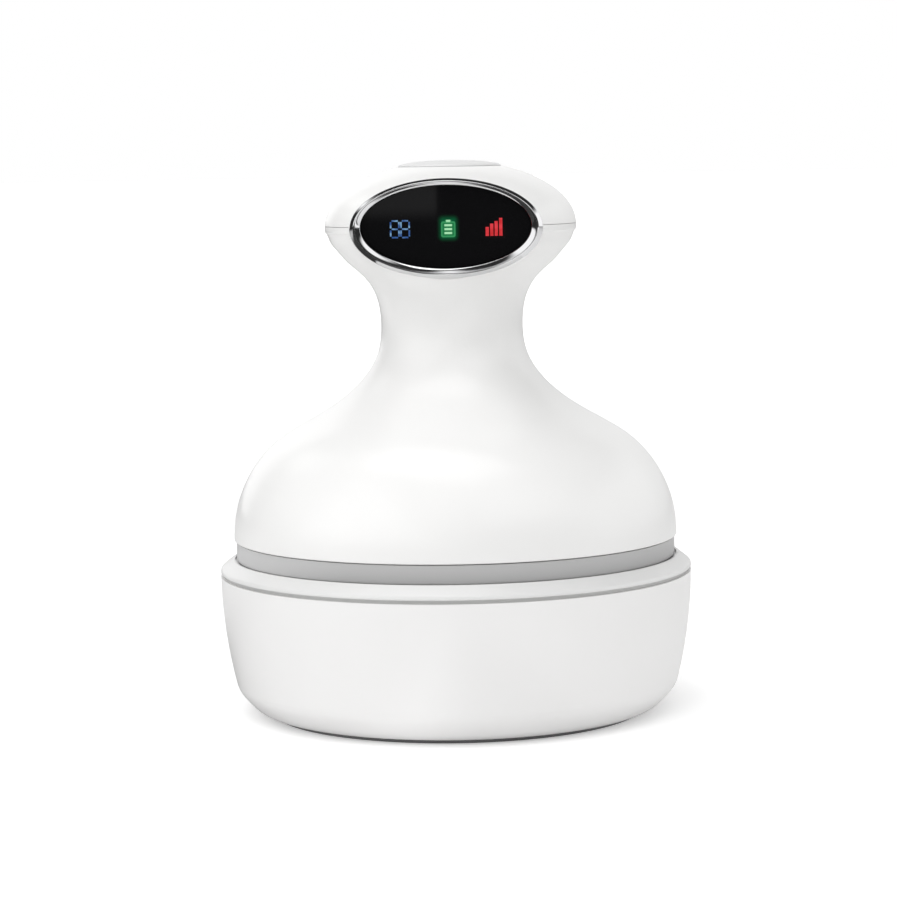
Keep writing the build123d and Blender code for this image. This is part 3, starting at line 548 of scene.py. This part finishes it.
# %% The nodes of the finger circles
given = fingers.nodes.new("NodeGroupInput")
joined = fingers.nodes.new("GeometryNodeJoinGeometry")
wire = fingers.links.new
for circle in CIRCLES:
    spots = fingers.nodes.new("GeometryNodeMeshCircle")
    wire(given.outputs[f"{circle} Count"], spots.inputs["Vertices"])
    wire(given.outputs[f"{circle} Radius"], spots.inputs["Radius"])
    spin = fingers.nodes.new("ShaderNodeCombineXYZ")
    wire(given.outputs[f"{circle} Start"], spin.inputs["Z"])
    turned = fingers.nodes.new("GeometryNodeTransform")
    wire(spots.outputs["Mesh"], turned.inputs["Geometry"])
    wire(spin.outputs["Vector"], turned.inputs["Rotation"])
    source = fingers.nodes.new("GeometryNodeObjectInfo")
    wire(given.outputs[f"{circle} Finger"], source.inputs["Object"])
    placed = fingers.nodes.new("GeometryNodeInstanceOnPoints")
    wire(turned.outputs["Geometry"], placed.inputs["Points"])
    wire(source.outputs["Geometry"], placed.inputs["Instance"])
    wire(placed.outputs["Instances"], joined.inputs["Geometry"])
wire(given.outputs["Geometry"], joined.inputs["Geometry"])
moved = fingers.nodes.new("GeometryNodeTransform")
wire(joined.outputs["Geometry"], moved.inputs["Geometry"])
wire(given.outputs["Centre"], moved.inputs["Translation"])
real = fingers.nodes.new("GeometryNodeRealizeInstances")
wire(moved.outputs["Geometry"], real.inputs["Geometry"])
dyed = fingers.nodes.new("GeometryNodeSetMaterial")
wire(real.outputs["Geometry"], dyed.inputs["Geometry"])
wire(given.outputs["Silicone"], dyed.inputs["Material"])
wire(dyed.outputs["Geometry"], fingers.nodes.new("NodeGroupOutput").inputs["Geometry"])
print("finger circles have", len(fingers.nodes), "nodes")

# %% [markdown]
# Silicone is soft to look at as well as to touch: its gloss is low, and its sheen is wide and weak.
# Its skin has the fine grain of the mould, and its grey is faintly cloudy. The four claws share
# that finish.

# %% Silicone
SILICONE_GREY, CLOUD_GREY = (0.50, 0.51, 0.53), (0.56, 0.57, 0.585)
silicone = Finish("claw_silicone", SILICONE_GREY, 0.55, IOR=1.41, Sheen_Weight=0.15)
skin = silicone.grain(1500.0, 2.0)
cloud = silicone.grain(70.0, 2.0)
silicone.put(Roughness=0.50 + skin * 0.12)
silicone.put(Base_Color=silicone.mix(cloud.ramp(0.3, 0.7), SILICONE_GREY, CLOUD_GREY))
silicone.relief(skin, 0.00003, 0.5)
print("silicone is between", SILICONE_GREY, "and", CLOUD_GREY)

# %% [markdown]
# The disc's profile runs from the middle of the underside outwards, round the edge, and back over
# the top into the recess that the carrier fills and the small hole for the shaft's end. Close
# points at the corners keep the smooth shading from smearing across them.

# %% The claw's disc
EDGE_FILLET, FLAT_RADIUS = 0.0014, CLAW_RADIUS - 0.0014
RECESS_RADIUS, RECESS_FLOOR, HOLE_RADIUS, HOLE_FLOOR = 0.01256, 0.02906, 0.00254, 0.0285
disc_profile = [(0.0, CLAW_LOW), (0.0035, CLAW_LOW), (0.0100, CLAW_LOW), (FLAT_RADIUS, CLAW_LOW)]
for sine, cosine in quarter_turn(6):
    disc_profile.append((FLAT_RADIUS + EDGE_FILLET * sine, CLAW_LOW + EDGE_FILLET * (1 - cosine)))
disc_profile += [(CLAW_RADIUS, 0.0285), (CLAW_RADIUS, 0.0304), (0.0172, 0.0311), (0.0167, 0.0315)]
disc_profile += [(FLAT_RADIUS, CLAW_TOP), (0.0132, CLAW_TOP), (0.01268, 0.0315)]
disc_profile += [(RECESS_RADIUS, 0.0312), (RECESS_RADIUS, 0.0292), (RECESS_RADIUS, RECESS_FLOOR)]
disc_profile += [(0.0122, RECESS_FLOOR), (0.0030, RECESS_FLOOR), (HOLE_RADIUS, RECESS_FLOOR)]
disc_profile += [(HOLE_RADIUS, HOLE_FLOOR), (0.0, HOLE_FLOOR)]
print("disc profile has", len(disc_profile), "points")

# %% [markdown]
# Each claw is one disc with the finger circles as its modifier. It is converted to a plain mesh,
# and the modifier is removed. Then it stands for its CAD solid, on the body that turns it.

# %% The four claws
HEADS = {"rear_right": (1, 1), "rear_left": (-1, 1), "front_left": (-1, -1), "front_right": (1, -1)}
HALF_PITCH = 0.019
for name, (side, end) in HEADS.items():
    claw = turned_piece(f"claw_{name}", disc_profile, 72)
    modifier = claw.modifiers.new("fingers", "NODES")
    modifier.node_group = fingers
    values = {"Outer Finger": outer_finger, "Inner Finger": inner_finger}
    values["Silicone"] = silicone.material
    values["Centre"] = (side * HALF_PITCH, end * HALF_PITCH, 0.0)
    for item in fingers.interface.items_tree:
        if item.in_out == "INPUT" and item.name in values:
            modifier[item.identifier] = values[item.name]
    bpy.context.view_layer.update()
    evaluated = claw.evaluated_get(bpy.context.evaluated_depsgraph_get())
    whole = bpy.data.meshes.new_from_object(evaluated)
    claw.modifiers.clear()
    claw.data = whole
    silicone.on(claw.name)
    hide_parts(f"head_claw_{name}")
    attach(claw, f"head_{name}")
for spare in (outer_finger, inner_finger):
    bpy.data.objects.remove(spare)

# %% [markdown]
# ## Moulded plastics and rubber
# The inner frame parts, gears and feet come from plainer moulds than the shells, and their
# spark-eroded texture is deeper. One recipe covers them all: a fine grain in the surface and the
# gloss, and a slow drift in the colour. Only the colour, the gloss and the size of the grain
# change.

# %% Moulded plastics and rubber
def moulded(name, colour, roughness, scale, drift, names, **constants):
    """Plastic or rubber; the colour drifts between itself and itself times the drift."""
    plastic = Finish(name, colour, roughness, **constants)
    fine, slow = plastic.grain(scale, 2.0), plastic.grain(45.0, 3.0)
    other = tuple(channel * drift for channel in colour)
    plastic.put(Base_Color=plastic.mix(slow.ramp(0.3, 0.7), colour, other))
    plastic.put(Roughness=roughness + (fine - 0.5) * 0.16)
    plastic.relief(fine, 0.00003, 0.5)
    plastic.on(*names)


def per_head(stem):
    return [f"{stem}_{name}" for name in HEADS]


frames = ["chassis", "gearbox_cover", "battery_sleeve", "display_frame"] + per_head("head_carrier")
moulded("frame_plastic", (0.62, 0.62, 0.61), 0.55, 2400.0, 0.95, frames)
gears = ["sun_cluster", "lay_cluster"] + per_head("head_gear")
moulded("gear_plastic", (0.80, 0.78, 0.72), 0.35, 1200.0, 0.96, gears, IOR=1.48)
moulded("foot_rubber", (0.16, 0.16, 0.162), 0.72, 3000.0, 1.25, ["base_foot_ring"])
moulded("seal_rubber", (0.06, 0.06, 0.065), 0.66, 2500.0, 1.2, ["shaft_seals", "motor_damper"])
chips = ["display_module", "tact_switch", "board_parts"]
moulded("chip_black", (0.03, 0.03, 0.032), 0.48, 5000.0, 1.3, chips)
moulded("wire_red", (0.55, 0.03, 0.02), 0.45, 3500.0, 0.9, ["power_leads"])
print("plastics and rubber done")

# %% [markdown]
# ## Metals
# Turned and drawn metal shows the tool's path: streaks around a shaft, along a strip. Stretched
# noise gives both, because Object coordinates can be scaled more along one axis than another.

# %% Metals
def worked_metal(name, colour, roughness, scale, stretch, names):
    """Metal with streaks; the stretch packs them closer along some axes than others."""
    metal = Finish(name, colour, roughness, Metallic=1.0)
    streak, stain = metal.grain(scale, 3.0, stretch), metal.grain(120.0, 2.0)
    dull = tuple(channel * 0.82 for channel in colour)
    metal.put(Base_Color=metal.mix((streak * 0.6 + stain * 0.4).ramp(0.3, 0.7), dull, colour))
    metal.put(Roughness=roughness + (streak - 0.5) * 0.18)
    metal.relief(streak, 0.00002, 0.4)
    metal.on(*names)


AROUND, EVEN, LENGTHWAYS = (1, 1, 30), (1, 1, 1), (8, 1, 8)
shafts = ["sun_stud", "lay_stud", "motor_shaft"] + per_head("head_shaft")
worked_metal("steel", (0.56, 0.56, 0.57), 0.26, 300.0, AROUND, shafts)
screws = ["chassis_screws", "gearbox_screws", "motor_screws", "board_screws", "display_screws"]
worked_metal("screw_steel", (0.45, 0.45, 0.46), 0.34, 1800.0, EVEN, screws + ["stud_clips"])
worked_metal("bronze", (0.62, 0.45, 0.24), 0.42, 4000.0, EVEN, ["shaft_bushes", "motor_pinion"])
worked_metal("motor_can", (0.52, 0.53, 0.54), 0.30, 220.0, AROUND, ["motor"])
worked_metal("port_steel", (0.60, 0.60, 0.61), 0.28, 500.0, LENGTHWAYS, ["charge_port"])
print("metals done")

# %% [markdown]
# ## Boards, cell and ribbon
# A circuit board is green lacquer over copper: where a track runs, the lacquer is lighter and
# stands a few hundredths of a millimetre proud. A Voronoi pattern measured along the axes gives
# straight tracks with corners. The cell wears a thin shrink sleeve, and the ribbon carries eight
# parallel conductors.

# %% Boards, cell and ribbon
board = Finish("pcb_green", (0.015, 0.13, 0.055), 0.30, IOR=1.5, Coat_Weight=0.3)
square_cells = {"feature": "F1", "distance": "CHEBYCHEV"}
voronoi_sockets = {"Vector": board.place, "Scale": 420.0}
cells = board.node("ShaderNodeTexVoronoi", square_cells, voronoi_sockets, "Distance")
track = cells.near(0.42, 0.10)
board.put(Base_Color=board.mix(track, (0.012, 0.10, 0.045), (0.03, 0.23, 0.095)))
board.put(Roughness=0.26 + board.grain(800.0) * 0.12)
board.relief(track, 0.00003, 0.6)
board.on("main_board", "display_board", "switch_board", "port_board")

WRAP_BLUE, FOLDED_BLUE = (0.05, 0.20, 0.42), (0.035, 0.145, 0.33)
sleeve = Finish("cell_wrap", WRAP_BLUE, 0.30, IOR=1.53)
fold = sleeve.grain(160.0, 3.0, (1, 1, 3))
near_end = 1 - sleeve.axis("Z").band(0.0925, 0.0960, 0.1220, 0.1255)
sleeve.put(Base_Color=sleeve.mix(near_end, WRAP_BLUE, FOLDED_BLUE))
sleeve.put(Roughness=0.24 + fold * 0.14)
sleeve.relief(fold * (0.15 + near_end), 0.00012, 0.6)
sleeve.on("battery")

ribbon = Finish("ribbon_amber", (0.50, 0.24, 0.04), 0.34, IOR=1.6)
lane = (ribbon.axis("X") * 4200.0).math("SINE").ramp(-0.2, 0.4)
ribbon.put(Base_Color=ribbon.mix(lane, (0.42, 0.19, 0.03), (0.66, 0.36, 0.10)))
ribbon.put(Roughness=0.30 + ribbon.grain(900.0) * 0.12)
ribbon.relief(lane, 0.00003, 0.5)
ribbon.on("display_ribbon")
print("boards, cell and ribbon done")

# %% [markdown]
# ## The paper floor
# The massager stands on white paper that runs far back behind it without a corner. One flat sheet
# is enough, because the background is plain white in any case. It is part of the stage.

# %% Paper floor
FLOOR_FRONT, FLOOR_BACK, FLOOR_SIDE = -0.45, 20.0, 15.0
corners = [(-FLOOR_SIDE, FLOOR_FRONT, 0), (FLOOR_SIDE, FLOOR_FRONT, 0)]
corners += [(FLOOR_SIDE, FLOOR_BACK, 0), (-FLOOR_SIDE, FLOOR_BACK, 0)]
sheet = bpy.data.meshes.new("studio_floor")
sheet.from_pydata(corners, [], [(0, 1, 2, 3)])
floor = bpy.data.objects.new("studio_floor", sheet)
bpy.context.scene.collection.objects.link(floor)
print("floor", floor.dimensions[:])

# %% [markdown]
# Paper that is lit evenly would render a little grey, so the camera sees it lifted to white, the
# more so the farther it lies from the massager. The lift is in the paper's own emission, masked by
# Is Camera Ray, and the soft shadow stays on it. What mirrors the floor sees dark cloth with white
# cards laid on it: a narrow one, a wide one to the right and a dimmer one to the rear. The part on
# the room says why.

# %% What the paper shows to the camera and to mirrors
PAPER, CLOTH, CARD, BLACK, WHITE = (0.86,) * 3, (0.03,) * 3, (0.95,) * 3, (0.0,) * 3, (1.0,) * 3
LIFT_FOR_ALL, LIFT_NEAR, LIFT_FAR, NEAR_EDGE, FAR_EDGE = 0.12, 0.18, 0.70, 0.25, 1.6
paper = Finish("studio_paper", PAPER, 0.9)
seen = paper.node("ShaderNodeLightPath", output="Is Camera Ray")
mirrored = paper.node("ShaderNodeLightPath", output="Is Glossy Ray")
for_camera = LIFT_NEAR + LIFT_FAR * paper.radius().ramp(NEAR_EDGE, FAR_EDGE)
lift = (LIFT_FOR_ALL + seen * for_camera) * (1 - mirrored)
paper.put(Emission_Color=paper.mix(lift, BLACK, WHITE), Emission_Strength=1.0)

across, along = paper.axis("X"), paper.axis("Y")
narrow_card, right_card = across.near(-0.010, 0.020), across.ramp(0.024, 0.060)
rear_card = 0.7 * along.band(0.06, 0.14, 0.5, 0.9)
cards = (narrow_card + right_card).most(rear_card)
paper.put(Base_Color=paper.mix(mirrored, PAPER, paper.mix(cards, CLOTH, CARD)))
paper.on("studio_floor")
print("paper is lifted by", LIFT_FOR_ALL, "and more where the camera sees it")

# %% [markdown]
# ## The lamps
# Five large softboxes light the object: a key above the camera, one low on each side, one overhead
# and a narrower strip overhead. Large boxes give soft edges to every highlight. Their power is set
# so that a mid-grey card beside the object would render as about the same mid-grey. Only the strip
# is mirrored by glossy surfaces: it draws the one soft highlight on the dome, while the other lamps
# would stand in the polished bezel as white squares.

# %% Softboxes
def softbox(name, place, aim, size, power):
    """A rectangular lamp at a place, turned to an aim; sizes in metres, power in watts."""
    data = bpy.data.lights.new(name, "AREA")
    data.shape, data.size, data.size_y, data.energy = "RECTANGLE", size[0], size[1], power
    light = bpy.data.objects.new(name, data)
    light.location = place
    light.rotation_euler = (Vector(aim) - Vector(place)).to_track_quat("-Z", "Y").to_euler()
    bpy.context.scene.collection.objects.link(light)
    return light


key = softbox("key_softbox", (-0.25, -0.95, 1.05), (0, 0, 0.07), (1.2, 1.2), 6.4)
left = softbox("left_softbox", (-1.3, -0.60, 0.26), (0, 0, 0.09), (1.0, 0.5), 3.8)
right_side = softbox("fill_softbox", (1.3, -0.40, 0.28), (0, 0, 0.05), (0.9, 0.5), 1.9)
top = softbox("top_softbox", (0.0, 0.2, 1.4), (0, 0, 0.1), (1.3, 1.3), 1.2)
softbox("strip_softbox", (-0.10, -0.12, 1.35), (0, 0, 0.09), (1.2, 0.75), 5.7)
for lamp in (key, left, right_side, top):
    lamp.visible_glossy = False

# %% [markdown]
# ## The room around
# Polished metal needs something to mirror, or it looks like grey plastic. In reflections the room
# is therefore a dark studio with white panels, as one is set up for cutlery and taps. Each panel is
# a range of directions: east, north and aloft run from -1 to 1, and the window faces south. What
# the window itself mirrors, straight to the south, stays dark and keeps it black. Only a dim pane
# there lies as a faint sheen across its upper left.

# %% The mirrored room
world = bpy.data.worlds.new("studio_room")
bpy.context.scene.world = world
world.use_nodes = True
room = Network(world.node_tree)
toward = room.node("ShaderNodeTexCoord", output="Generated")
east, north, aloft = [
    room.node("ShaderNodeSeparateXYZ", None, {"Vector": toward}, letter) for letter in "XYZ"
]
front, off_level = 1 - north.ramp(-0.35, 0.0), aloft.away(0.0)
wall_height, rear_height = 1 - off_level.ramp(0.42, 0.60), 1 - off_level.ramp(0.5, 0.7)
panels = {
    "front lamp": east.near(-0.065, 0.075) * aloft.band(0.15, 0.30, 0.70, 0.90) * front,
    "upper left": (0.0 - east - aloft * 0.6).ramp(-0.06, 0.10) * aloft.ramp(0.03, 0.12) * front,
    "upper right": east.ramp(0.16, 0.32) * aloft.band(0.25, 0.50, 0.72, 0.95) * front,
    "low in front": east.ramp(-0.08, -0.05) * aloft.band(-0.18, -0.12, -0.065, -0.045) * front,
    "right wall": east.ramp(0.30, 0.55) * wall_height * north.band(-0.35, -0.15, 0.70, 0.90),
    "rear left": east.near(-0.62, 0.20) * aloft.near(0.60, 0.20) * north.ramp(0.2, 0.4),
    "behind": north.ramp(0.65, 0.80) * rear_height * (1 - 0.3 * east.ramp(-0.4, 0.4)),
}
white, *others = panels.values()
for panel in others:
    white = white.most(panel)
pane_left, pane_above = 1 - east.ramp(-0.0555, -0.0545), aloft.ramp(-0.0225, -0.0165)
pane = pane_left * pane_above * (1 - north.ramp(-0.99, -0.98))
DARK_STUDIO, PANEL_LEVEL, PANE_LEVEL = 0.03, 1.2, 0.30
reflected = DARK_STUDIO + PANEL_LEVEL * white + PANE_LEVEL * pane
print("the mirrored room has", ", ".join(panels), "and a pane")

# %% [markdown]
# Each kind of ray gets its own room. Glossy rays get the mirrored one. Everything matt is lit by
# one soft, even white. The camera, and what it sees through clear pieces, gets plain white, where
# a strength of 1 is white on the screen. The Standard view transform keeps it so.

# %% The room for each kind of ray
ROOM_LEVEL = 0.48
camera_ray, glossy_ray, through_ray = [
    room.node("ShaderNodeLightPath", output=f"Is {kind} Ray")
    for kind in ("Camera", "Glossy", "Transmission")
]
level = ROOM_LEVEL + (reflected - ROOM_LEVEL) * glossy_ray
level = level + (1 - level) * camera_ray.most(through_ray)
room.feed(room.nodes["Background"].inputs["Strength"], level)
room.feed(room.nodes["Background"].inputs["Color"], (1.0, 1.0, 1.0, 1.0))
bpy.context.scene.view_settings.view_transform = "Standard"
print("room level", ROOM_LEVEL)
